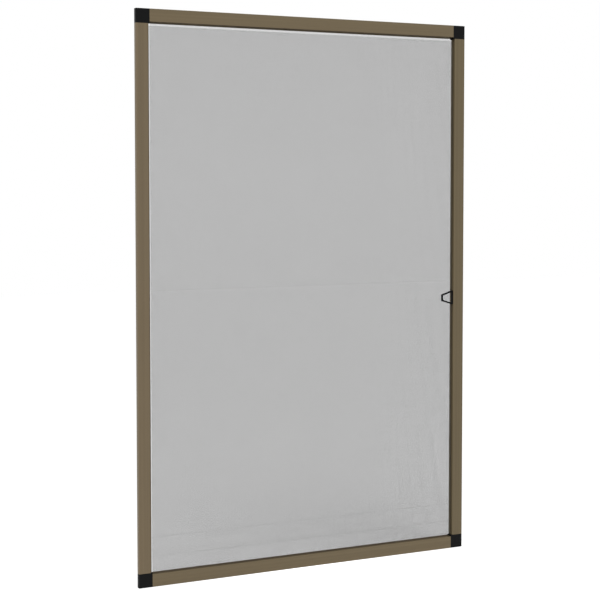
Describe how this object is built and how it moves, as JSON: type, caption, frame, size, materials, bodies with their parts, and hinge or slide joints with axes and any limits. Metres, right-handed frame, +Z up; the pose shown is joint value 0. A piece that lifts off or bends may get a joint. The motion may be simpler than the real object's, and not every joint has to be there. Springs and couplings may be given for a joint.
{
  "type": "window screen frame",
  "caption": "Tall rectangular insect screen for a window: square-cut aluminium bars on moulded corner connectors, a recessed woven mesh and a pull loop.",
  "frame": {"origin": "under the middle of the bottom edge, halfway through the frame's thickness", "axes": "+X to the right seen from the front, +Y from the front face to the back, +Z up"},
  "size_m": [0.8, 0.01, 1.2],
  "materials": {
    "bronze_bar": "satin bronze-brown powder coat",
    "black_connector": "matte moulded black",
    "grey_mesh": "coated glass-fibre yarn, dark grey",
    "dark_spline": "matte soft cord",
    "black_handle": "matte moulded black"
  },
  "bodies": {
    "root": {"top_rail": "bronze_bar", "bottom_rail": "bronze_bar", "left_stile": "bronze_bar", "right_stile": "bronze_bar", "connector_top_left": "black_connector", "connector_top_right": "black_connector", "connector_bottom_left": "black_connector", "connector_bottom_right": "black_connector", "insect_mesh": "grey_mesh", "top_spline": "dark_spline", "bottom_spline": "dark_spline", "left_spline": "dark_spline", "right_spline": "dark_spline", "pull_handle": "black_handle"}
  },
  "joints": []
}
